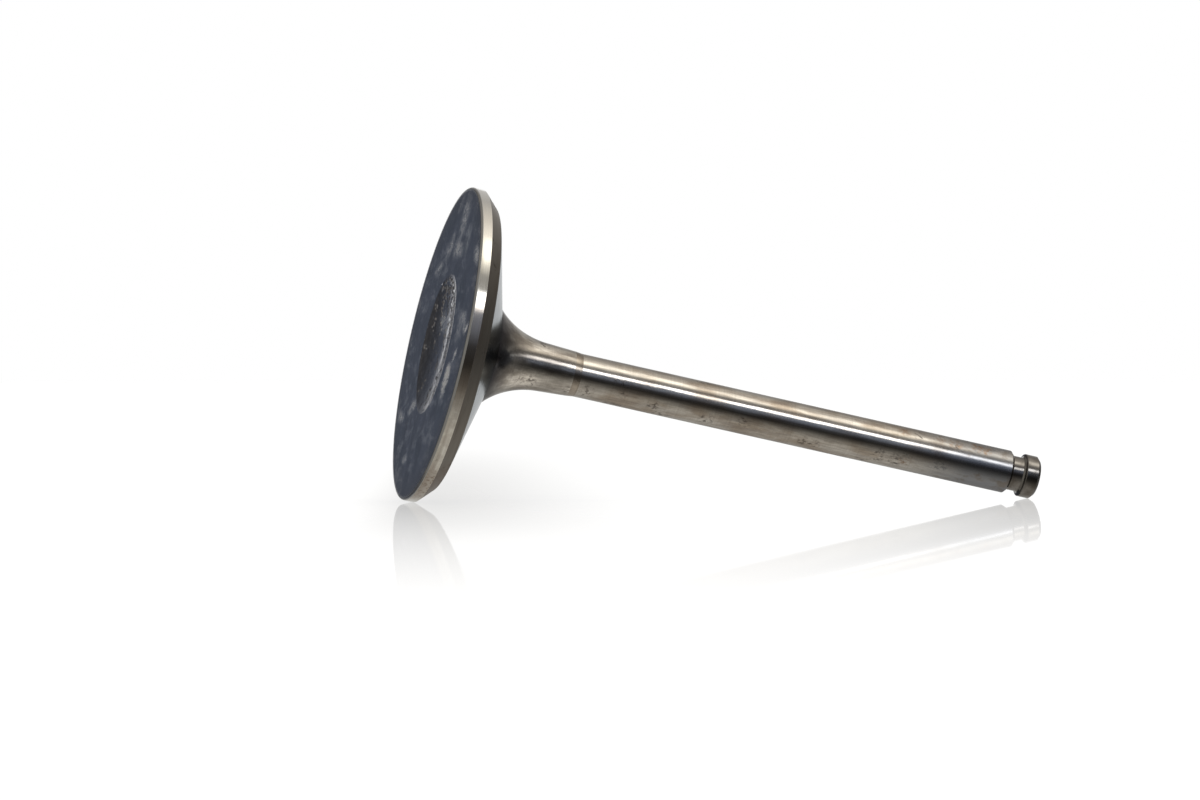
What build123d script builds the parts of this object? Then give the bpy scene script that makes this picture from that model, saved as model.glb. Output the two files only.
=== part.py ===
"""Poppet valve of a piston engine, made as one forging that is turned and ground all over.

The combustion face lies on the XY plane and the stem rises along +Z to its tip, so the
valve stands on its head. Lengths are in millimetres and angles in degrees.
"""
import os
from math import cos, radians, sin, tan

from build123d import *

# Overall
overall_length = 101.3
head_diameter = 50.8
stem_diameter = 6.98

# Head: margin, seat and back
margin_height = 1.8  # plain cylindrical rim between the face and the seat
seat_angle = 45.0  # ground seat, to the combustion face
seat_width = 3.0  # along the slope
back_angle = 17.1  # turned back of the head, to the combustion face
rim_edge_radius = 0.35  # edge between the face and the margin

# Neck: the hollow curve from the head into the stem
neck_radius = 12.9
neck_entry_angle = 47.6  # the curve's first tangent, to the stem's axis
neck_taper_angle = 3.4  # the plain taper that follows it, to the stem's axis
neck_taper_length = 4.9
grind_step_height = 0.15  # where the ground stem stops below the turned neck
grind_step_length = 1.2

# Dish forged into the combustion face as a shallow spherical bowl
dish_diameter = 22.4
dish_depth = 1.0
dish_lip_radius = 3.0

# Keeper groove and tip
button_length = 2.45  # full-diameter collar between the groove and the tip
groove_width = 2.15
groove_depth = 0.68
groove_bead_radius = 0.5  # hollow corner on the button's side
groove_corner_radius = 0.12  # hollow corner on the stem's side
shoulder_chamfer = 0.42  # stem's end at the groove
button_edge_radius = 0.15
tip_chamfer = 0.5

# Worked out from the stem outwards
head_radius = head_diameter / 2
stem_radius = stem_diameter / 2
neck_end_radius = stem_radius + grind_step_height
taper_start_radius = neck_end_radius + neck_taper_length * tan(radians(neck_taper_angle))
neck_turn_angle = neck_entry_angle - neck_taper_angle
crease_radius = taper_start_radius + neck_radius * (
    cos(radians(neck_taper_angle)) - cos(radians(neck_entry_angle))
)

# Worked out from the face upwards
seat_inner_radius = head_radius - seat_width * cos(radians(seat_angle))
seat_top = margin_height + seat_width * sin(radians(seat_angle))
crease_height = seat_top + (seat_inner_radius - crease_radius) * tan(radians(back_angle))
neck_entry_tangent = (-sin(radians(neck_entry_angle)), cos(radians(neck_entry_angle)))

# Worked out from the tip downwards
groove_top = overall_length - button_length
groove_bottom = groove_top - groove_width
groove_radius = stem_radius - groove_depth

# Worked out for the dish
dish_radius = dish_diameter / 2
dish_sphere_radius = (dish_radius**2 + dish_depth**2) / (2 * dish_depth)

with BuildPart() as valve:
    # Half of the lengthwise section, from the face round the head and up to the tip
    with BuildSketch(Plane.XZ):
        with BuildLine():
            Polyline(
                (0, 0),
                (head_radius, 0),
                (head_radius, margin_height),
                (seat_inner_radius, seat_top),
                (crease_radius, crease_height),
            )
            neck_curve = JernArc(
                start=(crease_radius, crease_height),
                tangent=neck_entry_tangent,
                radius=neck_radius,
                arc_size=-neck_turn_angle,
            )
            taper_start_height = (neck_curve @ 1).Y
            neck_end_height = taper_start_height + neck_taper_length
            stem_start_height = neck_end_height + grind_step_length
            Polyline(
                neck_curve @ 1,
                (neck_end_radius, neck_end_height),
                (stem_radius, stem_start_height),
                (stem_radius, overall_length),
                (0, overall_length),
                (0, 0),
            )
        make_face()
    revolve(axis=Axis.Z)

    # Rim edge and tip, the two outermost circles of the turned blank
    rim_edge = edges().filter_by(GeomType.CIRCLE).group_by(Axis.Z)[0]
    fillet(rim_edge, radius=rim_edge_radius)
    tip_edge = edges().filter_by(GeomType.CIRCLE).group_by(Axis.Z)[-1]
    chamfer(tip_edge, length=tip_chamfer)

    # Dish, the cap that a sphere centred below the face cuts out
    with Locations((0, 0, dish_depth - dish_sphere_radius)):
        Sphere(dish_sphere_radius, mode=Mode.SUBTRACT)
    dish_lip = faces().sort_by(Axis.Z)[0].inner_wires().edges()
    fillet(dish_lip, radius=dish_lip_radius)

    # Keeper groove, square on the stem's side and hollow on the button's side
    with BuildSketch(Plane.XZ):
        with Locations((groove_radius, groove_bottom)):
            Rectangle(stem_diameter, groove_width, align=(Align.MIN, Align.MIN))
        stem_side_corner = vertices().group_by(Axis.X)[0].sort_by(Axis.Y)[0]
        fillet(stem_side_corner, radius=groove_corner_radius)
        button_side_corner = vertices().group_by(Axis.Y)[-1].sort_by(Axis.X)[0]
        fillet(button_side_corner, radius=groove_bead_radius)
    revolve(axis=Axis.Z, mode=Mode.SUBTRACT)

    # The groove's two rims, which are the full-diameter circles near it
    groove_span = (groove_bottom - shoulder_chamfer, groove_top + button_edge_radius)
    circles = edges().filter_by(GeomType.CIRCLE).filter_by_position(Axis.Z, *groove_span)
    chamfer(circles.group_by(SortBy.RADIUS)[-1].sort_by(Axis.Z)[0], length=shoulder_chamfer)
    circles = edges().filter_by(GeomType.CIRCLE).filter_by_position(Axis.Z, *groove_span)
    fillet(circles.group_by(SortBy.RADIUS)[-1].sort_by(Axis.Z)[-1], radius=button_edge_radius)

valve.part.label = "valve"

os.makedirs("parts", exist_ok=True)
export_step(valve.part, "parts/valve.step")
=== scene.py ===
"""Looks of the poppet valve: one turned and ground steel forging, lying on a white gloss bench.

Everything is in metres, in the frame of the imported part: the combustion face lies on z = 0 and
the stem points along +Z. The valve keeps that stance. The bench is a plane that leans against
its rim and its tip, and the camera is rolled so that this plane is level.
"""

from math import asin, atan2, ceil, cos, pi, radians, remainder, sin, sqrt, tan

import bpy
from mathutils import Matrix, Vector


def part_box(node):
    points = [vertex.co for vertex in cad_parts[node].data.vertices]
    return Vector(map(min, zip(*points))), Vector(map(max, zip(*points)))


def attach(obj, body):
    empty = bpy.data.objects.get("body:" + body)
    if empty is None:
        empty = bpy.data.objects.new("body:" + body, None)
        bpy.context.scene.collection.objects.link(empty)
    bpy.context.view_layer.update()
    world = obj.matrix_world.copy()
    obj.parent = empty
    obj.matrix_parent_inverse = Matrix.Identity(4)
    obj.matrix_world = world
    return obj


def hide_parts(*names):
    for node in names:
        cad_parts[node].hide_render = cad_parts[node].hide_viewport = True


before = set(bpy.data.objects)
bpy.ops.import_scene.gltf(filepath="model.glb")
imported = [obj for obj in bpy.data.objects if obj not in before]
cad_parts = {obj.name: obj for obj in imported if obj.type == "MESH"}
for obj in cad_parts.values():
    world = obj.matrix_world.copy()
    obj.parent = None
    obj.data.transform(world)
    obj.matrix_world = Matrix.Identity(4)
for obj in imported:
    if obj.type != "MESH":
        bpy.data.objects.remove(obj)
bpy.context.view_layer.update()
valve_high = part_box("valve")[1]

MM = 0.001

# ---------------------------------------------------------------- sizes of the turned section
HEAD_RADIUS = valve_high.x
OVERALL_LENGTH = valve_high.z
STEM_RADIUS = 3.49 * MM
MARGIN_HEIGHT = 1.8 * MM
SEAT_ANGLE = radians(45.0)
SEAT_WIDTH = 3.0 * MM
BACK_ANGLE = radians(17.1)
RIM_EDGE_RADIUS = 0.35 * MM
NECK_RADIUS = 12.9 * MM
NECK_ENTRY_ANGLE = radians(47.6)
NECK_TAPER_ANGLE = radians(3.4)
NECK_TAPER_LENGTH = 4.9 * MM
GRIND_STEP_HEIGHT = 0.15 * MM
GRIND_STEP_LENGTH = 1.2 * MM
DISH_RADIUS = 11.2 * MM
DISH_DEPTH = 1.0 * MM
DISH_LIP_RADIUS = 3.0 * MM
BUTTON_LENGTH = 2.45 * MM
GROOVE_WIDTH = 2.15 * MM
GROOVE_DEPTH = 0.68 * MM
GROOVE_BEAD_RADIUS = 0.5 * MM
GROOVE_CORNER_RADIUS = 0.12 * MM
SHOULDER_CHAMFER = 0.42 * MM
BUTTON_EDGE_RADIUS = 0.15 * MM
TIP_CHAMFER = 0.5 * MM

ARC_STEPS = 4  # at least this many on each rounded corner
DISH_SPACING = 0.17 * MM  # close enough for the pits
SEAM_GAP = 0.0001 * MM  # points nearer than this are made one
FINISHES = ["dish", "face", "margin", "seat", "back", "neck", "ring", "stem", "groove", "button"]

# What the lathe is given, besides the section
LATHE = {
    "Facets round": 380,
    "Dish radius": DISH_RADIUS,
    "Dish floor": 0.93 * DISH_RADIUS,  # within it the pits have their full depth
    "Pit depth": 0.17 * MM,
    "Pit spacing": 0.75 * MM,
    "Seed": 4.0,
    "Sharp from": radians(24),
}
PIT_EDGE, PIT_BOTTOM = 0.40, 0.08  # from a pit's middle, in pit spacings
CLUMPS_PER_METRE = 420.0  # so a clump of pits is about 2.4 mm across
CLUMP_EDGE, CLUMP_FULL = 0.50, 0.56  # of the cloud that the clumps are cut from
CROWDED_SIDE = (-6, -8, 0)  # how much each metre that way adds to the cloud
MIDDLE_CROWDING, LIP_CROWDING = -0.10, 0.06

# ---------------------------------------------------------------- bench, camera
# The valve lies on the seat's outer edge and on the end of the button.
RIM_CONTACT = Vector((HEAD_RADIUS, 0, MARGIN_HEIGHT))
TIP_CONTACT = Vector((STEM_RADIUS, 0, OVERALL_LENGTH - TIP_CHAMFER))
LEAN = atan2(RIM_CONTACT.x - TIP_CONTACT.x, TIP_CONTACT.z - RIM_CONTACT.z)
BENCH_UP = Vector((-cos(LEAN), 0, -sin(LEAN)))
BENCH_ALONG = Vector((-sin(LEAN), 0, cos(LEAN)))
BENCH_FRONT = Vector((0, -1, 0))
BENCH_CENTRE = RIM_CONTACT + BENCH_ALONG * 0.05
BENCH_HALF_SIZE = 3.0

CAMERA_YAW = radians(12.18)  # the tip swings away from the camera by this much
CAMERA_PITCH = radians(0.55)
CAMERA_DISTANCE = 0.819
CAMERA_RIGHT = 26.0 * MM  # of the combustion face's centre
CAMERA_DROP = 9.0 * MM
SENSOR_WIDTH = 36.0  # this and the lens are in the camera's own millimetres
LENS = 154.94
NEAREST_SEEN, FARTHEST_SEEN = 0.01, 20.0


def linear(hex_colour):
    """Turns an sRGB hex colour into linear red, green, blue and alpha."""
    channels = [int(hex_colour[i : i + 2], 16) / 255 for i in (0, 2, 4)]
    return [c / 12.92 if c <= 0.04045 else ((c + 0.055) / 1.055) ** 2.4 for c in channels] + [1.0]


def add(tree, kind, inputs=None, **settings):
    """Adds a node with its settings, and fills its inputs with values or links."""
    made = tree.nodes.new(kind)
    for name, value in settings.items():
        setattr(made, name, value)
    for key, value in (inputs or {}).items():
        if isinstance(value, bpy.types.NodeSocket):
            tree.links.new(value, made.inputs[key])
        else:
            made.inputs[key].default_value = value
    return made


def where_all(tree, *shares):
    """Where all the shares meet: their product."""
    meeting = shares[0]
    for share in shares[1:]:
        meeting = add(tree, "ShaderNodeMath", {0: meeting, 1: share}, operation="MULTIPLY").outputs[0]
    return meeting


# ---------------------------------------------------------------- the turned section
def section_corners():
    """The section's corners from the dish's lip round the rim and up the stem to the tip.

    Each is (finish of the run that ends there, r, z, edge radius, spacing of its points).
    """
    head_r, stem_r = HEAD_RADIUS, STEM_RADIUS
    neck_end_r = stem_r + GRIND_STEP_HEIGHT
    taper_start_r = neck_end_r + NECK_TAPER_LENGTH * tan(NECK_TAPER_ANGLE)
    crease_r = taper_start_r + NECK_RADIUS * (cos(NECK_TAPER_ANGLE) - cos(NECK_ENTRY_ANGLE))
    seat_r = head_r - SEAT_WIDTH * cos(SEAT_ANGLE)
    seat_z = MARGIN_HEIGHT + SEAT_WIDTH * sin(SEAT_ANGLE)
    crease_z = seat_z + (seat_r - crease_r) * tan(BACK_ANGLE)
    reach = NECK_RADIUS * tan((NECK_ENTRY_ANGLE - NECK_TAPER_ANGLE) / 2)
    waist_r = crease_r - reach * sin(NECK_ENTRY_ANGLE)
    waist_z = crease_z + reach * cos(NECK_ENTRY_ANGLE)
    neck_end_z = waist_z + (waist_r - neck_end_r) / tan(NECK_TAPER_ANGLE)
    stem_z = neck_end_z + GRIND_STEP_LENGTH
    groove_top = OVERALL_LENGTH - BUTTON_LENGTH
    groove_low = groove_top - GROOVE_WIDTH
    groove_r = stem_r - GROOVE_DEPTH
    return [
        ("face", head_r, 0, RIM_EDGE_RADIUS, 0.5 * MM),
        ("margin", head_r, MARGIN_HEIGHT, 0, 0.3 * MM),
        ("seat", seat_r, seat_z, 0, 0.5 * MM),
        ("back", crease_r, crease_z, 0, 0.5 * MM),
        ("neck", waist_r, waist_z, NECK_RADIUS, 0.4 * MM),
        ("neck", neck_end_r, neck_end_z, 0, 0.5 * MM),
        ("ring", stem_r, stem_z, 0, 0.3 * MM),
        ("stem", stem_r, groove_low - SHOULDER_CHAMFER, 0, 2.5 * MM),
        ("groove", stem_r - SHOULDER_CHAMFER, groove_low, 0, 0.4 * MM),
        ("groove", groove_r, groove_low, GROOVE_CORNER_RADIUS, 0.4 * MM),
        ("groove", groove_r, groove_top, GROOVE_BEAD_RADIUS, 0.1 * MM),
        ("groove", stem_r, groove_top, BUTTON_EDGE_RADIUS, 0.4 * MM),
        ("button", stem_r, OVERALL_LENGTH - TIP_CHAMFER, 0, 0.5 * MM),
        ("button", stem_r - TIP_CHAMFER, OVERALL_LENGTH, 0, 0.4 * MM),
        ("button", 0, OVERALL_LENGTH, 0, 0.8 * MM),
    ]


def dish_points():
    """The shallow bowl from its centre, and its rounded lip, up to where the flat face starts."""
    bowl_r = (DISH_RADIUS**2 + DISH_DEPTH**2) / (2 * DISH_DEPTH)
    bowl_z = DISH_DEPTH - bowl_r
    lip_r = sqrt((bowl_r + DISH_LIP_RADIUS) ** 2 - (DISH_LIP_RADIUS - bowl_z) ** 2)
    slope = asin(lip_r / (bowl_r + DISH_LIP_RADIUS))
    rows = round(bowl_r * slope / DISH_SPACING)
    turns = [slope * i / rows for i in range(rows + 1)]
    bowl = [Vector((bowl_r * sin(t), bowl_z + bowl_r * cos(t))) for t in turns]
    turns = [slope * (1 - i / ARC_STEPS) for i in range(1, ARC_STEPS + 1)]
    lip = [Vector((lip_r - DISH_LIP_RADIUS * sin(t), DISH_LIP_RADIUS * (1 - cos(t)))) for t in turns]
    return bowl + lip


def rounded_corner(before, corner, after, radius, spacing):
    """Points along the arc of that radius between the two runs that meet at a corner."""
    back, on = (before - corner).normalized(), (after - corner).normalized()
    half_opening = back.angle(on) / 2
    centre = corner + (back + on).normalized() * (radius / sin(half_opening))
    reach = radius / tan(half_opening)
    first, last = corner + back * reach - centre, corner + on * reach - centre
    start = atan2(first.y, first.x)
    sweep = remainder(atan2(last.y, last.x) - start, 2 * pi)
    steps = max(ARC_STEPS, round(radius * abs(sweep) / spacing))
    turns = [start + sweep * i / steps for i in range(steps + 1)]
    return [centre + radius * Vector((cos(turn), sin(turn))) for turn in turns]


def section_points():
    """The whole section as points (r, z), and the finish of the run that starts at each."""
    corners = section_corners()
    points = dish_points()
    finishes = ["dish"] * (len(points) - 1)
    for i, (finish, r, z, radius, spacing) in enumerate(corners):
        corner = Vector((r, z))
        arc = [corner]
        if radius:
            before = Vector(corners[i - 1][1:3]) if i else points[-1]
            arc = rounded_corner(before, corner, Vector(corners[i + 1][1:3]), radius, spacing)
        start, run = points[-1], arc[0] - points[-1]
        steps = ceil(run.length / spacing - 0.01)  # a hair over a whole number adds no step
        points += [start + run * (step / steps) for step in range(1, steps + 1)]
        finishes += [finish] * steps
        points += arc[1:]
        finishes += [finish] * (len(arc) - 1)
    return points, finishes


def section_mesh():
    """The section as a chain of edges, with the finish and the length run so far on its points."""
    points, finishes = section_points()
    mesh = bpy.data.meshes.new("section")
    edges = [(i, i + 1) for i in range(len(points) - 1)]
    mesh.from_pydata([(p.x, 0, p.y) for p in points], edges, [])
    run, lengths = 0.0, [0.0]
    for a, b in zip(points, points[1:]):
        run += (b - a).length
        lengths.append(run)
    finish = mesh.attributes.new("finish", "INT", "POINT")
    finish.data.foreach_set("value", [FINISHES.index(f) for f in finishes + finishes[-1:]])
    length = mesh.attributes.new("run", "FLOAT", "POINT")
    length.data.foreach_set("value", lengths)
    return mesh


# ---------------------------------------------------------------- the lathe
def roll_up(tree, section, facets):
    """A grid with one row for each point of the section, rolled up into the turned body.

    Its faces get the section's finish, and its points their place on the lathe, as "turning":
    the direction round it in X and Y, and the length along the section in Z.
    """
    size = add(tree, "GeometryNodeAttributeDomainSize", {"Geometry": section})
    columns = add(tree, "ShaderNodeMath", {0: facets, 1: 1}, operation="ADD").outputs[0]
    grid = add(
        tree,
        "GeometryNodeMeshGrid",
        {"Vertices X": size.outputs["Point Count"], "Vertices Y": columns},
    )
    index = add(tree, "GeometryNodeInputIndex").outputs[0]
    row, ring = [
        add(
            tree,
            "ShaderNodeMath",
            {0: add(tree, "ShaderNodeMath", {0: index, 1: each}, operation="DIVIDE").outputs[0]},
            operation="FLOOR",
        ).outputs[0]
        for each in (columns, facets)  # points in a row, faces in a ring
    ]
    position = add(tree, "GeometryNodeInputPosition").outputs[0]
    run = add(tree, "GeometryNodeInputNamedAttribute", {"Name": "run"}).outputs["Attribute"]
    finish = add(tree, "GeometryNodeInputNamedAttribute", {"Name": "finish"}, data_type="INT")
    point, length, finish = [
        add(
            tree,
            "GeometryNodeSampleIndex",
            {"Geometry": section, "Value": value, "Index": at},
            data_type=data_type,
        ).outputs[0]
        for value, at, data_type in (
            (position, row, "FLOAT_VECTOR"),
            (run, row, "FLOAT"),
            (finish.outputs["Attribute"], ring, "INT"),
        )
    ]
    column = add(tree, "ShaderNodeMath", {0: index, 1: columns}, operation="MODULO")
    turn = add(tree, "ShaderNodeMath", {0: column.outputs[0], 1: facets}, operation="DIVIDE")
    angle = add(tree, "ShaderNodeMath", {0: turn.outputs[0], 1: 2 * pi}, operation="MULTIPLY")
    rolled, outward = [
        add(
            tree,
            "ShaderNodeVectorRotate",
            {"Vector": unturned, "Angle": angle.outputs[0]},
            rotation_type="Z_AXIS",
        ).outputs[0]
        for unturned in (point, (1, 0, 0))
    ]
    onward = add(tree, "ShaderNodeCombineXYZ", {"Z": length})
    turning = add(tree, "ShaderNodeVectorMath", {0: outward, 1: onward.outputs[0]}, operation="ADD")
    turned = add(
        tree, "GeometryNodeSetPosition", {"Geometry": grid.outputs["Mesh"], "Position": rolled}
    )
    for name, value, data_type, domain in (
        ("turning", turning.outputs[0], "FLOAT_VECTOR", "POINT"),
        ("finish", finish, "INT", "FACE"),
    ):
        turned = add(
            tree,
            "GeometryNodeStoreNamedAttribute",
            {"Geometry": turned.outputs[0], "Name": name, "Value": value},
            data_type=data_type,
            domain=domain,
        )
    joined = add(
        tree, "GeometryNodeMergeByDistance", {"Geometry": turned.outputs[0], "Distance": SEAM_GAP}
    )
    return joined.outputs[0]


def pit_depths(tree, given, flat, radius):
    """How deep each point of the forged dish is pitted: more by the lip and on the crowded side."""
    density = add(tree, "ShaderNodeMath", {0: 1.0, 1: given["Pit spacing"]}, operation="DIVIDE")
    moved = add(tree, "ShaderNodeVectorMath", {0: flat, 1: given["Seed"]}, operation="ADD")
    cells = add(
        tree,
        "ShaderNodeTexVoronoi",
        {"Vector": moved.outputs[0], "Scale": density.outputs[0], "Randomness": 1.0},
        voronoi_dimensions="2D",
    )
    pit = add(
        tree,
        "ShaderNodeMapRange",
        {"Value": cells.outputs["Distance"], "From Min": PIT_EDGE, "From Max": PIT_BOTTOM},
        interpolation_type="SMOOTHSTEP",
    )
    cloud = add(
        tree,
        "ShaderNodeTexNoise",
        {"Vector": flat, "W": given["Seed"], "Scale": CLUMPS_PER_METRE, "Detail": 3.0},
        noise_dimensions="4D",
    )
    sideward = add(tree, "ShaderNodeVectorMath", {0: flat, 1: CROWDED_SIDE}, operation="DOT_PRODUCT")
    lipward = add(
        tree,
        "ShaderNodeMapRange",
        {
            "Value": radius,
            "From Max": given["Dish radius"],
            "To Min": MIDDLE_CROWDING,
            "To Max": LIP_CROWDING,
        },
    )
    crowding = sideward.outputs["Value"]
    for more in (lipward.outputs[0], cloud.outputs[0]):
        crowding = add(tree, "ShaderNodeMath", {0: crowding, 1: more}, operation="ADD").outputs[0]
    clump = add(
        tree,
        "ShaderNodeMapRange",
        {"Value": crowding, "From Min": CLUMP_EDGE, "From Max": CLUMP_FULL},
    )
    inside = add(
        tree,
        "ShaderNodeMapRange",
        {"Value": radius, "From Min": given["Dish radius"], "From Max": given["Dish floor"]},
    )
    return where_all(tree, pit.outputs[0], clump.outputs[0], inside.outputs[0], given["Pit depth"])


def lathe_tree(materials):
    """Turns a section round the Z axis, pits the dish and gives each run its finish."""
    tree = bpy.data.node_groups.new("lathe", "GeometryNodeTree")
    face = tree.interface
    face.new_socket("Section", in_out="INPUT", socket_type="NodeSocketGeometry")
    for name, size in LATHE.items():
        kind = "NodeSocketInt" if isinstance(size, int) else "NodeSocketFloat"
        face.new_socket(name, in_out="INPUT", socket_type=kind)
    face.new_socket("Valve", in_out="OUTPUT", socket_type="NodeSocketGeometry")
    given = add(tree, "NodeGroupInput").outputs
    whole = roll_up(tree, given["Section"], given["Facets round"])

    place = add(tree, "GeometryNodeInputPosition").outputs[0]
    flat = add(tree, "ShaderNodeVectorMath", {0: place, 1: (1, 1, 0)}, operation="MULTIPLY").outputs[0]
    radius = add(tree, "ShaderNodeVectorMath", {0: flat}, operation="LENGTH").outputs["Value"]
    height = add(tree, "ShaderNodeSeparateXYZ", {0: place}).outputs["Z"]
    in_dish, low = [
        add(tree, "ShaderNodeMath", {0: size, 1: limit}, operation="LESS_THAN").outputs[0]
        for size, limit in ((radius, given["Dish radius"]), (height, 2 * DISH_DEPTH))
    ]
    depths = pit_depths(tree, given, flat, radius)
    lift = add(tree, "ShaderNodeCombineXYZ", {"Z": depths}).outputs[0]
    pitted = add(
        tree,
        "GeometryNodeSetPosition",
        {"Geometry": whole, "Selection": where_all(tree, in_dish, low), "Offset": lift},
    )

    # Smooth, but for the corners that the lathe left sharp
    corner = add(tree, "GeometryNodeInputMeshEdgeAngle").outputs["Unsigned Angle"]
    smooth = add(tree, "ShaderNodeMath", {0: corner, 1: given["Sharp from"]}, operation="LESS_THAN")
    shaded = add(
        tree,
        "GeometryNodeSetShadeSmooth",
        {"Geometry": pitted.outputs[0], "Shade Smooth": smooth.outputs[0]},
        domain="EDGE",
    )
    shaded = add(tree, "GeometryNodeSetShadeSmooth", {"Geometry": shaded.outputs[0]}, domain="FACE")
    made = add(tree, "GeometryNodeRealizeInstances", {"Geometry": shaded.outputs[0]})
    finish = add(tree, "GeometryNodeInputNamedAttribute", {"Name": "finish"}, data_type="INT")
    for number, name in enumerate(FINISHES):
        same = add(
            tree,
            "FunctionNodeCompare",
            {2: finish.outputs["Attribute"], 3: number},
            data_type="INT",
            operation="EQUAL",
        )
        made = add(
            tree,
            "GeometryNodeSetMaterial",
            {"Geometry": made.outputs[0], "Selection": same.outputs[0], "Material": materials[name]},
        )
    add(tree, "NodeGroupOutput", {"Valve": made.outputs[0]})
    return tree


def turn_valve(materials):
    """The whole valve as one plain mesh, in place of its CAD node."""
    blank = bpy.data.objects.new("blank", section_mesh())
    bpy.context.scene.collection.objects.link(blank)
    lathe = blank.modifiers.new("lathe", "NODES")
    lathe.node_group = lathe_tree(materials)
    for item in lathe.node_group.interface.items_tree:
        if item.name in LATHE:
            lathe[item.identifier] = LATHE[item.name]
    bpy.context.view_layer.update()
    turned = blank.evaluated_get(bpy.context.evaluated_depsgraph_get())
    mesh = bpy.data.meshes.new_from_object(turned)
    bpy.data.objects.remove(blank)
    valve = bpy.data.objects.new("poppet_valve", mesh)
    bpy.context.scene.collection.objects.link(valve)
    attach(valve, "root")
    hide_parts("valve")


# ---------------------------------------------------------------- patterns and what they do
def present(socket):
    """What the socket has now: the link into it, or else its own value."""
    return socket.links[0].from_socket if socket.is_linked else socket.default_value


# used for real stains and wear, and also for painted light and painted shade
def recolour(tree, shader, hex_colour, *shares):
    """Turns the shader's colour to another one where all the shares meet."""
    colour = shader.inputs["Base Color"]
    mixed = add(
        tree,
        "ShaderNodeMix",
        {"Factor": where_all(tree, *shares), 6: present(colour), 7: linear(hex_colour)},
        data_type="RGBA",
    )
    tree.links.new(mixed.outputs[2], colour)


def roughen(tree, shader, share, amount):
    """Adds that amount, times the share, to the shader's roughness."""
    roughness = shader.inputs["Roughness"]
    more = add(
        tree, "ShaderNodeMath", {0: share, 1: amount, 2: present(roughness)}, operation="MULTIPLY_ADD"
    )
    tree.links.new(more.outputs[0], roughness)


def dry(tree, shader, share, metallic):
    """Takes the metal's own look away where the share is 1, down to that metallic value."""
    left = add(tree, "ShaderNodeMapRange", {"Value": share, "To Min": 1.0, "To Max": metallic})
    tree.links.new(left.outputs[0], shader.inputs["Metallic"])


def uneven(tree, shader, height, depth, share=1.0):
    """Raises the surface by height, 0 to 1, times that depth in millimetres and that share."""
    normal = shader.inputs["Normal"]
    inputs = {"Strength": share, "Distance": depth * MM, "Height": height}
    if normal.is_linked:
        inputs["Normal"] = present(normal)
    bump = add(tree, "ShaderNodeBump", inputs)
    tree.links.new(bump.outputs[0], normal)


def millimetres(tree, pace=(1, 1, 1), turn=(0, 0, 0)):
    """Object coordinates in millimetres, turned by degrees, and then each times its pace."""
    return add(
        tree,
        "ShaderNodeMapping",
        {
            "Vector": add(tree, "ShaderNodeTexCoord").outputs["Object"],
            "Rotation": tuple(radians(t) for t in turn),
            "Scale": tuple(MM / p for p in pace),
        },
        vector_type="TEXTURE",
    ).outputs[0]


def axes(tree):
    """The surface's X, Y and Z in millimetres."""
    return add(tree, "ShaderNodeSeparateXYZ", {0: millimetres(tree)}).outputs


def patches(tree, size, low, high, detail=3.0, seed=0.0, pace=(1, 1, 1), turn=(0, 0, 0)):
    """Cloudy patches of about that size in millimetres: 0 below low of the cloud, 1 above high.

    An axis with a pace below 1 draws them out along itself.
    """
    cloud = add(
        tree,
        "ShaderNodeTexNoise",
        {
            "Vector": millimetres(tree, pace, turn),
            "W": seed,
            "Scale": 1 / size,
            "Detail": detail,
            "Roughness": 0.6,
        },
        noise_dimensions="4D",
    )
    return add(
        tree,
        "ShaderNodeMapRange",
        {"Value": cloud.outputs[0], "From Min": low, "From Max": high},
        interpolation_type="SMOOTHSTEP",
    ).outputs[0]


def hair_lines(tree, spacing):
    """Fine lines round the turned part, that far apart in millimetres along the section."""
    turning = add(tree, "ShaderNodeAttribute", attribute_name="turning").outputs["Vector"]
    run = add(tree, "ShaderNodeSeparateXYZ", {0: turning}).outputs["Z"]
    lines = add(
        tree,
        "ShaderNodeTexNoise",
        {"W": run, "Scale": 1 / (spacing * MM), "Detail": 2.0, "Roughness": 0.6},
        noise_dimensions="1D",
    )
    return lines.outputs[0]


def spots(tree, shapes, core):
    """How deep the surface is in the deepest of some soft spots: 0 outside, their strength inside.

    Each shape is (place, half sizes in millimetres, heading round Z in degrees, strength). The
    full strength is reached where the distance is core times the half size.
    """
    surface = millimetres(tree)
    deepest = None
    for place, half_sizes, heading, strength in shapes:
        local = add(
            tree,
            "ShaderNodeMapping",
            {
                "Vector": surface,
                "Location": place,
                "Rotation": (0, 0, radians(heading)),
                "Scale": half_sizes,
            },
            vector_type="TEXTURE",
        )
        away = add(tree, "ShaderNodeVectorMath", {0: local.outputs[0]}, operation="LENGTH")
        deep = add(
            tree,
            "ShaderNodeMapRange",
            {"Value": away.outputs["Value"], "From Min": 1.0, "From Max": core, "To Max": strength},
            interpolation_type="SMOOTHSTEP",
        ).outputs[0]
        if deepest:
            deep = add(tree, "ShaderNodeMath", {0: deepest, 1: deep}, operation="MAXIMUM").outputs[0]
        deepest = deep
    return deepest


def near(tree, places):
    """How near the surface is to any of the places (x, y, z, reach) in millimetres: 1 at them."""
    shapes = [((x, y, z), (reach, reach, reach), 0, 1.0) for x, y, z, reach in places]
    return spots(tree, shapes, core=0.4)


def round_stem(marks):
    """Places (x, y, z, reach) of marks given as (height, angle round the stem, reach)."""
    radius = STEM_RADIUS / MM
    return [
        (-radius * sin(radians(angle)), -radius * cos(radians(angle)), height, reach)
        for height, angle, reach in marks
    ]


# ---------------------------------------------------------------- materials
def empty_tree(owner):
    """The owner's node tree, with nothing in it."""
    owner.use_nodes = True
    owner.node_tree.nodes.clear()
    return owner.node_tree


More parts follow.
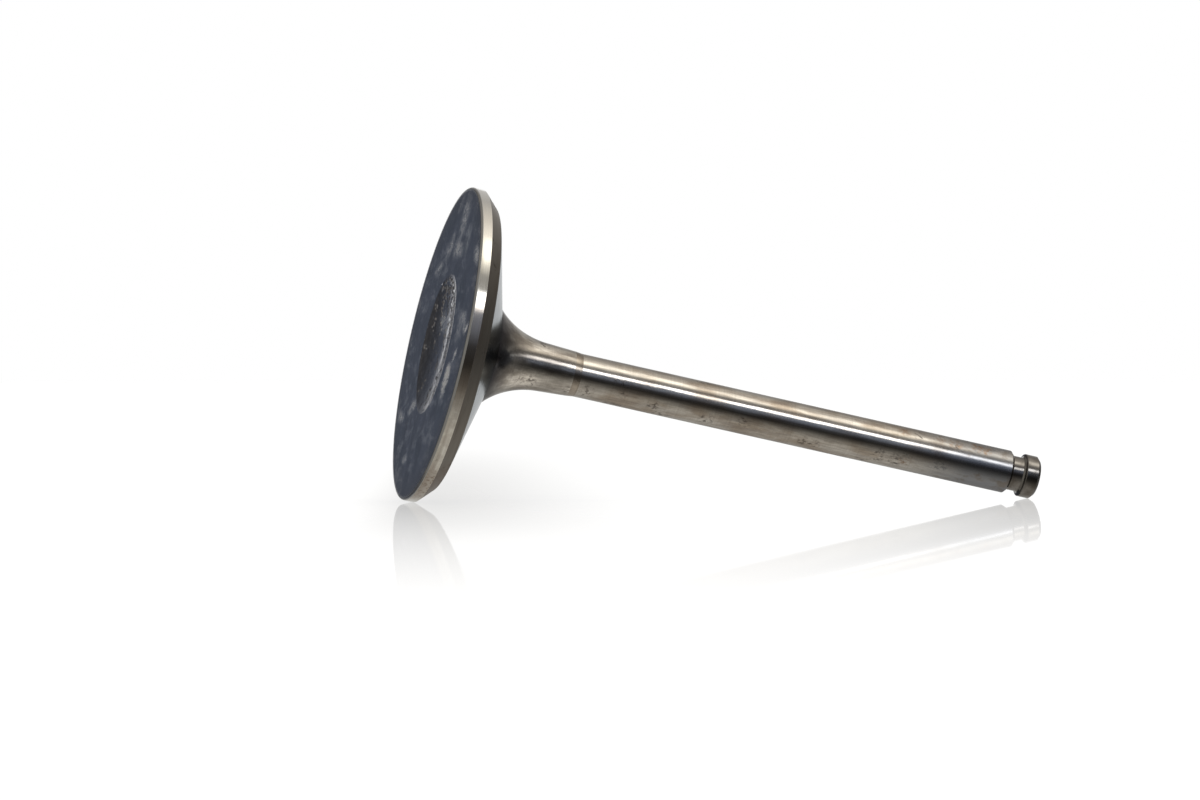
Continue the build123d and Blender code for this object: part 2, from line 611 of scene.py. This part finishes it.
def steel(name, colour, roughness, edge="ffffff"):
    """A clean steel with nothing on it yet: its material, tree and shader.

    Seen nearly edge on, it mirrors in the colour edge.
    """
    material = bpy.data.materials.new(name)
    tree = empty_tree(material)
    shader = add(
        tree,
        "ShaderNodeBsdfPrincipled",
        {
            "Base Color": linear(colour),
            "Metallic": 1.0,
            "Roughness": roughness,
            "Specular Tint": linear(edge),
        },
    )
    add(tree, "ShaderNodeOutputMaterial", {"Surface": shader.outputs[0]})
    return material, tree, shader


def nicks(tree, reach, rubbed, seed):
    """Short leaning scratches in loose groups, and in the places that are rubbed.

    reach is about how much of the part the loose groups take up.
    """
    groups = patches(
        tree, size=3.2, low=0.64 - reach, high=0.72 - reach, detail=1.0, seed=seed, pace=(1, 1, 0.5)
    )
    if rubbed:
        placed = near(tree, rubbed)
        groups = add(tree, "ShaderNodeMath", {0: groups, 1: placed}, operation="MAXIMUM").outputs[0]
    scratches = patches(
        tree,
        size=0.45,
        low=0.47,
        high=0.62,
        detail=4.0,
        seed=seed + 3.0,
        pace=(1, 1, 0.35),
        turn=(28, 24, 0),
    )
    return where_all(tree, groups, scratches)


def handled_steel(
    name,
    clean,
    film,
    roughness,
    film_reach,
    wave,
    wave_depth,
    nick_reach,
    seed,
    rubbed=(),
    streak=0.0,
    flow=(1, 1, 1),
    edge="ffffff",
    lined=0.22,
):
    """Bright steel with hair lines, that hands and oil have dulled in films, streaks and nicks.

    clean and film are its colours without and with the film, and film_reach is about how much of
    it is filmed. The surface swells by wave_depth over a length of wave, both in millimetres.
    """
    material, tree, shader = steel(name, clean, roughness, edge)
    filmed = patches(
        tree, size=3.0, low=0.70 - film_reach, high=0.95 - film_reach, detail=4.0, seed=seed, pace=flow
    )
    streaked = patches(tree, size=0.45, low=0.38, high=0.66, seed=seed + 5.0, pace=(1, 1, 0.10))
    nicked = nicks(tree, nick_reach, rubbed, seed + 7.0)
    lines = hair_lines(tree, 0.30)  # three times as coarse as the real grit, so that it shows
    recolour(tree, shader, film, filmed)
    recolour(tree, shader, "685f62", streaked, streak)
    recolour(tree, shader, "5a544c", lines, lined)
    recolour(tree, shader, "4a4440", nicked, 0.75)
    roughen(tree, shader, filmed, 0.07)
    roughen(tree, shader, nicked, 0.12)
    swell = patches(tree, size=wave, low=0.2, high=0.8, seed=seed + 11.0, pace=(1, 1, 0.5))
    uneven(tree, shader, swell, wave_depth)
    uneven(tree, shader, nicked, 0.004)
    return material, tree, shader


# Rub marks and stains: (height in millimetres, angle round the stem, reach in millimetres)
NECK_RUBS = [
    (13.6, -38, 2.0),
    (15.4, -42, 1.8),
    (12.4, -60, 1.8),
    (13.6, 72, 1.6),
    (16.8, 62, 1.4),
    (21.9, -52, 1.2),
]
STEM_RUBS = [
    (24.9, -44, 1.7),
    (30.7, -33, 1.2),
    (36.0, -41, 1.5),
    (45.0, -46, 1.6),
    (51.0, -32, 1.5),
    (61.4, -46, 1.2),
    (62.6, -46, 1.0),
    (63.6, -46, 1.0),
    (74.0, -38, 1.8),
    (77.0, -42, 1.8),
    (80.2, 48, 1.3),
    (90.4, 46, 1.2),
]
RUST_STAINS = [
    (84.0, 52, 1.2),
    (86.4, 46, 1.6),
    (90.2, 52, 1.5),
    (91.8, 44, 1.3),
    (77.6, 50, 1.3),
    (78.5, -34, 1.4),
]
# The end of the stem that is hardened, from where it starts to where it is in full
HARDENED_FROM, HARDENED_FULL = 76.0, 89.0
# Its upper side shows the bluer colour less and the lower side more, as painted shade: X in
# millimetres, with -X up
UPPER_SIDE, LOWER_SIDE = -1.8, 0.4


def ground_stem():
    """Chromium steel, centreless ground and polished: a tube that mirrors the room in long bands.

    Oil films brown it, and the hardened end is greyer and a little duller, with brown stains. The grey
    is stronger underneath, as painted shade.
    """
    material, tree, shader = handled_steel(
        "ground_stem_steel",
        clean="d3d0cb",
        film="b0a69b",
        roughness=0.11,
        film_reach=0.30,
        wave=2.4,
        wave_depth=0.010,
        nick_reach=0.02,
        seed=2.0,
        rubbed=round_stem(STEM_RUBS),
        streak=0.32,
        flow=(1, 1, 0.4),
        edge="e4e4e4",
    )
    place = axes(tree)
    hardened = add(
        tree,
        "ShaderNodeMapRange",
        {"Value": place["Z"], "From Min": HARDENED_FROM, "From Max": HARDENED_FULL},
    ).outputs[0]
    below = add(
        tree,
        "ShaderNodeMapRange",
        {
            "Value": place["X"],
            "From Min": UPPER_SIDE,
            "From Max": LOWER_SIDE,
            "To Min": 0.55,
            "To Max": 0.85,
        },
    ).outputs[0]
    more_at_end = add(
        tree, "ShaderNodeMapRange", {"Value": hardened, "To Min": 0.12, "To Max": 0.5}
    ).outputs[0]
    oily = patches(tree, size=2.2, low=0.50, high=0.62, detail=4.0, seed=21.0, pace=(1, 1, 0.6))
    flecks = patches(tree, size=0.7, low=0.40, high=0.68, detail=4.0, seed=27.0)
    # the hardened end's own grey, made stronger on the lower side as painted shade
    recolour(tree, shader, "7b8089", hardened, below)
    recolour(tree, shader, "706456", oily, more_at_end)
    recolour(tree, shader, "86705e", near(tree, round_stem(RUST_STAINS)), flecks, 0.85)
    roughen(tree, shader, hardened, 0.08)
    return material


def polished_neck():
    """Forged neck, turned and polished by hand: bright, but uneven, with pits and rub marks.

    Its colour is darkened into the crease where it meets the back of the head: painted shade.
    """
    material, tree, shader = handled_steel(
        "polished_neck_steel",
        clean="dcd9d4",
        film="9a958f",
        roughness=0.10,
        film_reach=0.34,
        wave=1.7,
        wave_depth=0.014,
        nick_reach=0.04,
        seed=5.0,
        rubbed=round_stem(NECK_RUBS),
        streak=0.25,
        flow=(1, 1, 0.4),
        edge="f4f4f4",
    )
    crease = add(
        tree, "ShaderNodeMapRange", {"Value": axes(tree)["Z"], "From Min": 11.5, "From Max": 8.6}
    )
    # painted shade: the neck's colour darkens into the crease by the back of the head
    recolour(tree, shader, "40404a", crease.outputs[0], 0.85)
    return material


def step_ring():
    """The end of the grinding wheel's run: a dull ring, a little browner than the stem."""
    return handled_steel(
        "grinding_step_steel",
        clean="aca49b",
        film="888077",
        roughness=0.16,
        film_reach=0.3,
        wave=1.7,
        wave_depth=0.02,
        nick_reach=0.1,
        seed=8.0,
    )[0]


def rim_specks_and_contact_shade(tree):
    """Where the rim rests on the bench: darker there, as painted shade of the contact, with darker
    specks in it.
    """
    contact_shade = near(tree, [(22.6, -10.0, 1.5, 9.0)])
    specks = patches(tree, size=0.5, low=0.50, high=0.60, seed=61.0)
    speckled = add(tree, "ShaderNodeMapRange", {"Value": specks, "To Min": 0.55, "To Max": 1.0})
    return where_all(tree, contact_shade, speckled.outputs[0])


def ground_margin():
    """The rim, ground round: bright, with fine lines round it.

    It is painted paler high up, as painted light from above, browned where it was held, and smudged low
    down.
    """
    material, tree, shader = handled_steel(
        "ground_margin_steel",
        clean="ecebe6",
        film="c8c5be",
        roughness=0.11,
        film_reach=0.27,
        wave=2.0,
        wave_depth=0.004,
        nick_reach=0.03,
        seed=12.0,
        flow=(0.15, 0.15, 2.2),
        lined=0.26,
    )
    lit_high_up = near(tree, [(-21.5, -13.5, 1.0, 12.0)])
    held = near(tree, [(-3.5, -25.1, 1.0, 6.0), (3.5, -25.0, 1.0, 7.5)])
    low_down = near(tree, [(12.0, -22.4, 1.0, 8.0), (18.0, -17.9, 1.0, 7.0)])
    smudges = patches(tree, size=1.4, low=0.36, high=0.60, detail=4.0, seed=63.0)
    # painted highlight: the upper margin is made paler where the light from above falls
    recolour(tree, shader, "f4f3f0", lit_high_up, 0.75)
    recolour(tree, shader, "a08a78", held, 0.5)
    recolour(tree, shader, "a0958f", low_down, smudges, 0.35)
    # painted shade where the rim meets the bench, with darker specks in it
    recolour(tree, shader, "8c7e74", rim_specks_and_contact_shade(tree))
    return material


def ground_seat():
    """The sealing face, ground by a stone: an even dull grey with fine lines round it."""
    material, tree, shader = handled_steel(
        "ground_seat_steel",
        clean="9a958e",
        film="7c756c",
        roughness=0.36,
        film_reach=0.2,
        wave=2.0,
        wave_depth=0.004,
        nick_reach=0.02,
        seed=15.0,
        flow=(0.15, 0.15, 1.6),
        lined=0.5,
    )
    # painted shade where the seat's edge meets the bench, with darker specks in it
    recolour(tree, shader, "786658", rim_specks_and_contact_shade(tree))
    return material


def turned_back():
    """The back of the head, turned and polished: nearly a mirror."""
    return handled_steel(
        "turned_back_steel",
        clean="a3a6a8",
        film="9b9b9b",
        roughness=0.14,
        film_reach=0.15,
        wave=3.0,
        wave_depth=0.01,
        nick_reach=0.0,
        seed=18.0,
        edge="b2b6b8",
    )[0]


def turned_groove():
    """Keeper groove and button, turned and left as the tool cut them: duller and greyer."""
    return handled_steel(
        "turned_tip_steel",
        clean="8c8a88",
        film="66625e",
        roughness=0.13,
        film_reach=0.3,
        wave=1.2,
        wave_depth=0.006,
        nick_reach=0.0,
        seed=24.0,
    )[0]


# Wipes of dried oil on the face, in millimetres: (x, y, half length, half width, heading, strength)
FACE_WIPES = [
    (-20.2, -1.6, 5.6, 4.4, 0, 0.75),
    (-15.9, 5.6, 2.8, 4.0, -30, 0.7),
    (-15.2, -1.4, 2.2, 6.4, 0, 0.8),
    (-16.4, -8.0, 3.0, 3.4, 0, 0.5),
    (-12.3, 12.0, 1.6, 4.2, -12, 0.9),
    (-14.0, -18.6, 1.8, 4.4, 20, 0.9),
    (-2.6, -21.8, 1.8, 3.0, 0, 0.7),
    (5.2, -15.3, 2.7, 3.0, 0, 2.4),
    (6.8, -14.6, 2.5, 2.8, 0, 2.4),
    (1.9, -18.2, 2.2, 1.0, 50, 1.8),
    (-2.4, -23.1, 2.1, 1.0, 47, 1.5),
    (-4.1, -19.0, 1.6, 3.0, 0, 0.8),
    (-2.8, -16.8, 4.4, 3.6, 0, 0.45),
    (12.3, 17.0, 1.5, 4.0, 0, 0.8),
    (10.4, 8.5, 1.6, 4.6, -15, 0.8),
    (19.0, 5.6, 1.1, 3.4, 0, 0.9),
]
DISH_WIPES = [(-3.5, 0.5, 2.6, 7.0, 0, 2.0)]  # the same in the dish


def smeared(tree, wipes):
    """Where oil has dried on the face or in the dish, wispy inside each of the wipes."""
    shapes = [
        ((x, y, 0), (half_length, half_width, half_width), heading, strength)
        for x, y, half_length, half_width, heading, strength in wipes
    ]
    wisps = patches(tree, size=0.9, low=0.36, high=0.62, detail=5.0, seed=41.0, pace=(1, 0.5, 1))
    wispy = add(tree, "ShaderNodeMapRange", {"Value": wisps, "To Min": 0.25, "To Max": 1.0})
    return where_all(tree, spots(tree, shapes, core=0.0), wispy.outputs[0])


def heat_tinted_face():
    """The head's face, turned flat: slate blue from heat, with pale smears of dried oil.

    A smear scatters light, so it looks paler and duller than the steel beside it. Towards the rim
    the blue fades, and the very edge is worn bright.
    """
    material, tree, shader = steel("heat_tinted_face_steel", "646e7c", 0.07)
    smears = smeared(tree, FACE_WIPES)
    cloudy = patches(tree, size=5.0, low=0.30, high=0.72, seed=31.0)
    hazy = patches(tree, size=2.0, low=0.46, high=0.70, detail=4.0, seed=35.0, pace=(1, 0.5, 1))
    flat = add(
        tree, "ShaderNodeVectorMath", {0: millimetres(tree), 1: (1, 1, 0)}, operation="MULTIPLY"
    )
    radius = add(tree, "ShaderNodeVectorMath", {0: flat.outputs[0]}, operation="LENGTH")
    rim, edge = [
        add(
            tree,
            "ShaderNodeMapRange",
            {"Value": radius.outputs["Value"], "From Min": starts, "From Max": full},
        ).outputs[0]
        for starts, full in ((20.5, 25.0), (24.7, 25.1))
    ]
    recolour(tree, shader, "9296a2", cloudy)
    recolour(tree, shader, "a8aebc", hazy, 0.42)
    recolour(tree, shader, "86807c", rim, 0.6)
    recolour(tree, shader, "b2b3b3", edge, 0.85)
    recolour(tree, shader, "e4e8f0", smears)
    roughen(tree, shader, hazy, 0.10)
    roughen(tree, shader, smears, 0.28)
    roughen(tree, shader, edge, 0.22)
    dry(tree, shader, smears, 0.10)
    marks = hair_lines(tree, 0.35)  # coarser than the real turning marks, so that they show
    uneven(tree, shader, marks, 0.0003)
    uneven(tree, shader, patches(tree, size=2.0, low=0.2, high=0.8, seed=33.0), 0.003)
    return material


SMALL_PIT_SPACING = 0.625  # millimetres


def forged_dish():
    """The bowl in the face, left as forged: pitted scale that sparkles where a pit catches light.

    Towards +X it is duller, and has none of the small pits.
    """
    material, tree, shader = steel("forged_dish_steel", "84848a", 0.05)
    scale = patches(tree, size=1.2, low=0.3, high=0.7, detail=5.0, seed=51.0)
    smears = smeared(tree, DISH_WIPES)
    dull, clean = [
        add(
            tree,
            "ShaderNodeMapRange",
            {"Value": axes(tree)["X"], "From Min": starts, "From Max": full},
        ).outputs[0]
        for starts, full in ((1.0, 9.0), (8.0, 2.0))
    ]
    recolour(tree, shader, "a8a8ae", scale)
    recolour(tree, shader, "d0d6e0", smears)
    dry(tree, shader, smears, 0.55)
    roughen(tree, shader, scale, 0.04)
    roughen(tree, shader, dull, 0.16)
    cells = add(
        tree,
        "ShaderNodeTexVoronoi",
        {"Vector": millimetres(tree), "Scale": 1 / SMALL_PIT_SPACING},
    )
    pits = add(
        tree,
        "ShaderNodeMapRange",
        {"Value": cells.outputs["Distance"], "From Min": 0.15, "From Max": 0.42},
        interpolation_type="SMOOTHSTEP",
    ).outputs[0]
    clumps = patches(tree, size=2.4, low=0.52, high=0.60, detail=2.0, seed=57.0)
    uneven(tree, shader, patches(tree, size=1.5, low=0.2, high=0.8, seed=53.0), 0.003)
    uneven(tree, shader, pits, 0.05, where_all(tree, clumps, clean))
    return material


# ---------------------------------------------------------------- bench
SHEET_GREY = 0.2  # what it scatters of the lamps' light
SHEET_GLOW = 0.95  # the rest of its white is its own, so that it stays even
SHEET_IOR = 1.5
SHEET_ROUGHNESS = 0.02
SHEET_POLISH = 0.58  # how much gloss it has where it is polished
WORN_UNTIL, POLISHED_FROM = -0.34, -0.03  # along Y: it has no gloss far in front of the valve
SHADE_LEFT = 0.52  # what the gloss still mirrors in the middle of the shade
# A soft shade in the gloss by the head's foot: (direction, where it ends, where it is full)
SHEET_SHADE = [
    ((0, 1, 0), 0.60, -0.02),
    ((0, 1, 0), -0.26, -0.08),
    ((0, -0.18, 0.98), 0.042, 0.002),
    ((0, -0.18, 0.98), -0.010, 0.006),
]


def sheet_material():
    """Lacquered white sheet: white, with a faint mirror image of what lies on it.

    The gloss follows the glancing angle, so the image and the shade vanish from above. From below
    the sheet isn't seen at all.
    """
    material = bpy.data.materials.new("white_gloss_sheet")
    tree = empty_tree(material)
    place = add(tree, "ShaderNodeTexCoord").outputs["Object"]
    fades = []
    for direction, ends, full in SHEET_SHADE:
        way = add(tree, "ShaderNodeVectorMath", {0: place, 1: direction}, operation="DOT_PRODUCT")
        fade = add(
            tree,
            "ShaderNodeMapRange",
            {"Value": way.outputs["Value"], "From Min": ends, "From Max": full},
            interpolation_type="SMOOTHSTEP",
        )
        fades.append(fade.outputs[0])
    mirrored = add(
        tree,
        "ShaderNodeMapRange",
        {"Value": where_all(tree, *fades), "To Min": 1.0, "To Max": SHADE_LEFT},
    ).outputs[0]
    polish = add(
        tree,
        "ShaderNodeMapRange",
        {
            "Value": add(tree, "ShaderNodeSeparateXYZ", {0: place}).outputs["Y"],
            "From Min": WORN_UNTIL,
            "From Max": POLISHED_FROM,
            "To Max": SHEET_POLISH,
        },
    ).outputs[0]
    glancing = add(tree, "ShaderNodeFresnel", {"IOR": SHEET_IOR}).outputs[0]
    matt = add(tree, "ShaderNodeBsdfDiffuse", {"Color": (SHEET_GREY, SHEET_GREY, SHEET_GREY, 1)})
    glow = add(tree, "ShaderNodeEmission", {"Color": (1, 1, 1, 1), "Strength": SHEET_GLOW})
    white = add(tree, "ShaderNodeAddShader", {0: matt.outputs[0], 1: glow.outputs[0]})
    mirror = add(tree, "ShaderNodeBsdfGlossy", {"Color": mirrored, "Roughness": SHEET_ROUGHNESS})
    gloss = add(
        tree,
        "ShaderNodeMixShader",
        {0: where_all(tree, polish, glancing), 1: white.outputs[0], 2: mirror.outputs[0]},
    )
    clear = add(tree, "ShaderNodeBsdfTransparent")
    below = add(tree, "ShaderNodeNewGeometry").outputs["Backfacing"]
    shown = add(
        tree, "ShaderNodeMixShader", {0: below, 1: gloss.outputs[0], 2: clear.outputs[0]}
    )
    add(tree, "ShaderNodeOutputMaterial", {"Surface": shown.outputs[0]})
    return material


def make_bench():
    """The sheet that the valve lies on. The valve doesn't mirror it: the studio stands in for it."""
    along, across = BENCH_ALONG * BENCH_HALF_SIZE, -BENCH_FRONT * BENCH_HALF_SIZE
    corners = [BENCH_CENTRE + along * a + across * b for a, b in ((-1, -1), (1, -1), (1, 1), (-1, 1))]
    mesh = bpy.data.meshes.new("bench")
    mesh.from_pydata(corners, [], [(0, 1, 2, 3)])
    mesh.materials.append(sheet_material())
    bench = bpy.data.objects.new("bench", mesh)
    bpy.context.scene.collection.objects.link(bench)
    bench.visible_glossy = False
    bench.visible_shadow = False
    bench.visible_diffuse = False


# ---------------------------------------------------------------- studio
# What stands round the valve, by the angle about its stem: 0 is towards the camera, 90 is up,
# 180 is behind and -90 is down. Each stop is (angle, colour, strength).
LAMPS = [
    (-180, "fdfcf9", 0.62),
    (-170, "fdfcf9", 0.60),
    (-155, "fdfbf4", 0.56),
    (-138, "fdf8ee", 0.51),  # bench behind the valve
    (-110, "fdf7ec", 0.54),
    (-66, "fdf6e9", 0.52),
    (-42, "fdf6e9", 0.31),
    (-26, "fdf6ea", 0.12),  # bench in front, where it mirrors the dark room
    (-12, "fdf8ee", 0.03),  # black card under the lens
    (2, "f0f4ff", 0.055),
    (14, "dce8ff", 0.27),
    (26, "dce8ff", 0.36),
    (31, "ffffff", 3.8),  # strip softbox
    (39.5, "ffffff", 3.8),
    (42, "fffaf2", 0.34),
    (54, "fffaf2", 0.36),
    (62, "fff8ea", 0.95),  # warm ceiling panel
    (70, "fff8ea", 2.1),
    (80, "fff8ea", 2.1),
    (89, "fff6e8", 1.05),
    (104, "fff6e8", 0.76),
    (132, "fffaf2", 0.44),
    (152, "fffcf8", 0.52),
    (170, "fffcf8", 0.66),
    (180, "fdfdfd", 1.0),
]
# Beyond the tip's end, by how far the direction leans that way, from 0 to 1
ROOM = [
    (0.60, "fffaf4", 0.17),
    (0.85, "fffaf4", 0.15),
    (0.93, "fffaf4", 0.11),
    (0.98, "f4f6ff", 0.05),
    (1.00, "f4f6ff", 0.03),
]
# Beyond the head's end, by how far the direction leans that way and what FADES adds to that
SLATE_CARD = [
    (0.13, "d8e2f8", 0.150),
    (0.24, "d8e2f8", 0.135),
    (0.38, "e4e8f2", 0.085),
    (0.52, "ece8e4", 0.110),
    (0.64, "f0e8dc", 0.22),
    (0.90, "f6f0e4", 0.42),
]
# How the studio changes with one part of the direction, each part running from -1 to 1:
# (part, where it starts, where it is full, value at the start, value in full)
FADES = {
    "card aside": ("Y", 0.6, 0.3, 0.0, 0.62),  # its paler part reaches round in front of the head
    "card overhead": ("X", -0.15, -0.40, 0.0, 0.45),  # and above it
    "past the head": ("Z", -0.05, -0.15, 0.0, 1.0),
    "room behind": ("Y", 0.3, 0.9, 0.0, 0.435),  # the room reaches farther round behind the stem
    "room overhead": ("X", -0.15, -0.40, 1.0, 0.4),  # but less so overhead
    "room's depth": ("X", -0.1, 0.15, 0.94, 0.60),  # it is thinner down at the bench
    "straight past the tip": ("Z", 0.92, 0.98, 0.0, 1.0),
    "above the bench": ("X", 0.02, -0.01, 0.0, 1.0),
}
ROOM_STARTS, ROOM_FULL = 0.62, 0.91  # by the lean towards it
ROOM_TILT = -0.06  # lean added for each part of X
BACKDROP_STARTS, BACKDROP_FULL = 0.965, 0.987
BACKDROP_TILT = 0.2  # the white backdrop reaches on towards the tip
GLARE_STARTS, GLARE_FULL = 0.25, 0.48  # by X times Z: the bench is brighter low beyond the tip
GLARE = 1.7


def fill_ramp(tree, share, stops):
    """A ramp of (position, colour, strength) stops as light, and its greatest strength."""
    brightest = max(strength for _, _, strength in stops)
    ramp = add(tree, "ShaderNodeValToRGB", {"Fac": share})
    elements = ramp.color_ramp.elements
    for i, (position, colour, strength) in enumerate(stops):
        stop = elements[i] if i < 2 else elements.new(position)
        stop.position = position
        stop.color = [c * strength / brightest for c in linear(colour)[:3]] + [1]
    return ramp.outputs["Color"], brightest


def lamps_round_stem(tree, part):
    """The lamps and cards by their angle about the stem, brighter where the far bench glares."""
    up, front = [
        add(tree, "ShaderNodeMath", {0: part[name], 1: -1.0}, operation="MULTIPLY").outputs[0]
        for name in ("X", "Y")
    ]
    angle = add(tree, "ShaderNodeMath", {0: up, 1: front}, operation="ARCTAN2")
    share = add(
        tree, "ShaderNodeMapRange", {"Value": angle.outputs[0], "From Min": -pi, "From Max": pi}
    )
    stops = [((at + 180) / 360, *light) for at, *light in LAMPS]
    colour, brightest = fill_ramp(tree, share.outputs[0], stops)
    far_bench = add(tree, "ShaderNodeMath", {0: part["X"], 1: part["Z"]}, operation="MULTIPLY")
    strength = add(
        tree,
        "ShaderNodeMapRange",
        {
            "Value": far_bench.outputs[0],
            "From Min": GLARE_STARTS,
            "From Max": GLARE_FULL,
            "To Min": brightest,
            "To Max": GLARE * brightest,
        },
    )
    inputs = {"Color": colour, "Strength": strength.outputs[0]}
    return add(tree, "ShaderNodeBackground", inputs).outputs[0]


def room_past_tip(tree, part, fades):
    """The dim room beyond the tip: how much of it there is in each direction, and its light."""
    aside = where_all(tree, fades["room behind"], fades["room overhead"])
    lean = add(tree, "ShaderNodeMath", {0: part["X"], 1: ROOM_TILT, 2: aside}, operation="MULTIPLY_ADD")
    lean = add(tree, "ShaderNodeMath", {0: lean.outputs[0], 1: part["Z"]}, operation="ADD")
    leaning = add(
        tree,
        "ShaderNodeMapRange",
        {"Value": lean.outputs[0], "From Min": ROOM_STARTS, "From Max": ROOM_FULL},
    )
    share = add(
        tree,
        "ShaderNodeMath",
        {
            0: where_all(tree, leaning.outputs[0], fades["room's depth"]),
            1: fades["straight past the tip"],
        },
        operation="MAXIMUM",
    )
    colour, brightest = fill_ramp(tree, part["Z"], ROOM)
    room = add(tree, "ShaderNodeBackground", {"Color": colour, "Strength": brightest})
    return share.outputs[0], room.outputs[0]


def backdrop_share(tree, part, fades):
    """How much of the white backdrop there is in each direction: it stands straight behind."""
    behind = add(
        tree, "ShaderNodeMath", {0: part["Z"], 1: BACKDROP_TILT, 2: part["Y"]}, operation="MULTIPLY_ADD"
    )
    straight = add(
        tree,
        "ShaderNodeMapRange",
        {"Value": behind.outputs[0], "From Min": BACKDROP_STARTS, "From Max": BACKDROP_FULL},
    )
    return where_all(tree, straight.outputs[0], fades["above the bench"])


def slate_past_head(tree, part, fades):
    """The slate card beyond the head: how much of it there is in each direction, and its light."""
    lean = add(
        tree, "ShaderNodeMath", {0: fades["card aside"], 1: part["Z"]}, operation="SUBTRACT"
    )
    lean = add(
        tree, "ShaderNodeMath", {0: lean.outputs[0], 1: fades["card overhead"]}, operation="ADD"
    )
    colour, brightest = fill_ramp(tree, lean.outputs[0], SLATE_CARD)
    card = add(tree, "ShaderNodeBackground", {"Color": colour, "Strength": brightest})
    return fades["past the head"], card.outputs[0]


def make_studio():
    """White to the camera; to everything else the lamps, with each later card in front."""
    world = bpy.data.worlds.new("studio")
    tree = empty_tree(world)
    towards = add(tree, "ShaderNodeTexCoord").outputs["Generated"]
    part = add(tree, "ShaderNodeSeparateXYZ", {0: towards}).outputs
    fades = {}
    for name, (axis, starts, full, low, high) in FADES.items():
        inputs = {
            "Value": part[axis],
            "From Min": starts,
            "From Max": full,
            "To Min": low,
            "To Max": high,
        }
        fades[name] = add(tree, "ShaderNodeMapRange", inputs).outputs[0]
    white = add(tree, "ShaderNodeBackground", {"Color": (1, 1, 1, 1), "Strength": 1.0}).outputs[0]
    to_camera = add(tree, "ShaderNodeLightPath").outputs["Is Camera Ray"]
    lit = lamps_round_stem(tree, part)
    for share, light in (
        room_past_tip(tree, part, fades),
        (backdrop_share(tree, part, fades), white),
        slate_past_head(tree, part, fades),
        (to_camera, white),
    ):
        lit = add(tree, "ShaderNodeMixShader", {0: share, 1: lit, 2: light}).outputs[0]
    add(tree, "ShaderNodeOutputWorld", {"Surface": lit})
    bpy.context.scene.world = world


def make_camera():
    """A long lens, a little above the bench, rolled so that the bench is level."""
    right = BENCH_ALONG * cos(CAMERA_YAW) + BENCH_FRONT * sin(CAMERA_YAW)
    level_back = BENCH_FRONT * cos(CAMERA_YAW) - BENCH_ALONG * sin(CAMERA_YAW)
    back = level_back * cos(CAMERA_PITCH) + BENCH_UP * sin(CAMERA_PITCH)
    up = back.cross(right)
    place = right * CAMERA_RIGHT - up * CAMERA_DROP + back * CAMERA_DISTANCE
    lens = bpy.data.cameras.new("camera")
    lens.sensor_width = SENSOR_WIDTH
    lens.lens = LENS
    lens.clip_start, lens.clip_end = NEAREST_SEEN, FARTHEST_SEEN
    camera = bpy.data.objects.new("camera", lens)
    turned = Matrix((right, up, back)).transposed()
    camera.matrix_world = Matrix.Translation(place) @ turned.to_4x4()
    bpy.context.scene.collection.objects.link(camera)
    bpy.context.scene.camera = camera


make_camera()
make_bench()
make_studio()
finishes = {
    "dish": forged_dish(),
    "face": heat_tinted_face(),
    "margin": ground_margin(),
    "seat": ground_seat(),
    "back": turned_back(),
    "neck": polished_neck(),
    "ring": step_ring(),
    "stem": ground_stem(),
    "groove": turned_groove(),
}
finishes["button"] = finishes["groove"]
turn_valve(finishes)

bpy.context.scene.view_settings.view_transform = "Standard"
